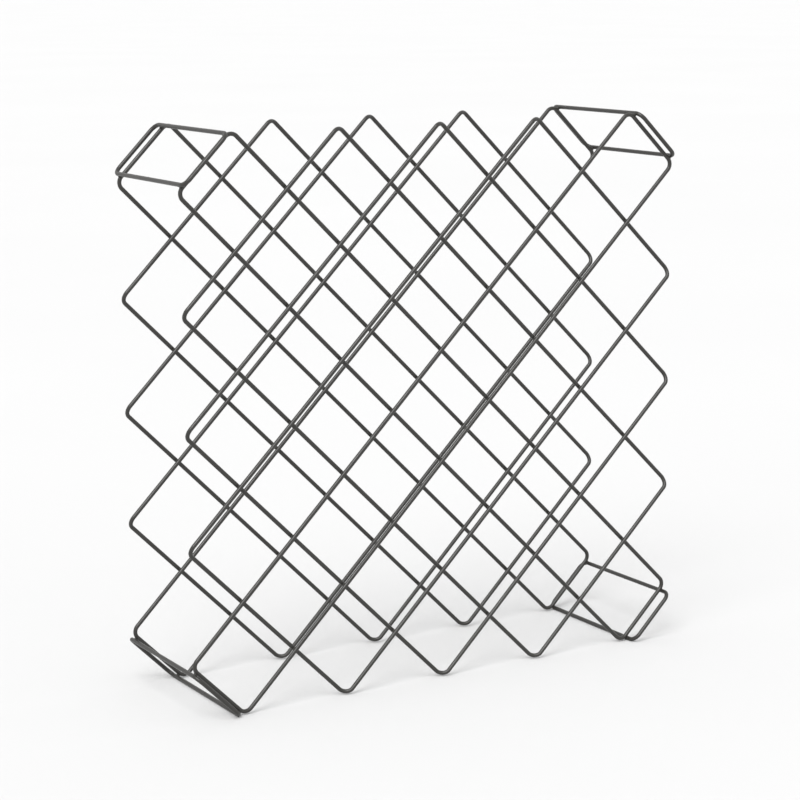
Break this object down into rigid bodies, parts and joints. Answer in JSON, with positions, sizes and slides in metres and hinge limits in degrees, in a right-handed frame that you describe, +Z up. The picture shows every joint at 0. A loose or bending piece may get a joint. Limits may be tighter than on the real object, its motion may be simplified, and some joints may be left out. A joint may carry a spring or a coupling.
{
  "type": "wine rack",
  "caption": "Free-standing diamond-lattice wire wine rack: two grids of crossing wire loops joined by a wire link at each corner; bottles lie through the square cells.",
  "frame": {"origin": "on the floor under the middle of the rack: the centre of the bounding box in plan, at its lowest level", "axes": "+Z up; +Y from the front lattice, where the bottle necks point out, to the back lattice; +X to the right seen from the front"},
  "size_m": [0.6642, 0.1922, 0.6642],
  "materials": {
    "powder_coated_wire": "satin dark grey powder coat over steel wire"
  },
  "bodies": {
    "root": {"front_loop_9x1": "powder_coated_wire", "front_loop_7x3": "powder_coated_wire", "front_loop_5x5": "powder_coated_wire", "front_loop_3x7": "powder_coated_wire", "front_loop_1x9": "powder_coated_wire", "back_loop_9x1": "powder_coated_wire", "back_loop_7x3": "powder_coated_wire", "back_loop_5x5": "powder_coated_wire", "back_loop_3x7": "powder_coated_wire", "back_loop_1x9": "powder_coated_wire", "corner_link_top_right": "powder_coated_wire", "corner_link_top_left": "powder_coated_wire", "corner_link_bottom_left": "powder_coated_wire", "corner_link_bottom_right": "powder_coated_wire"}
  },
  "joints": []
}
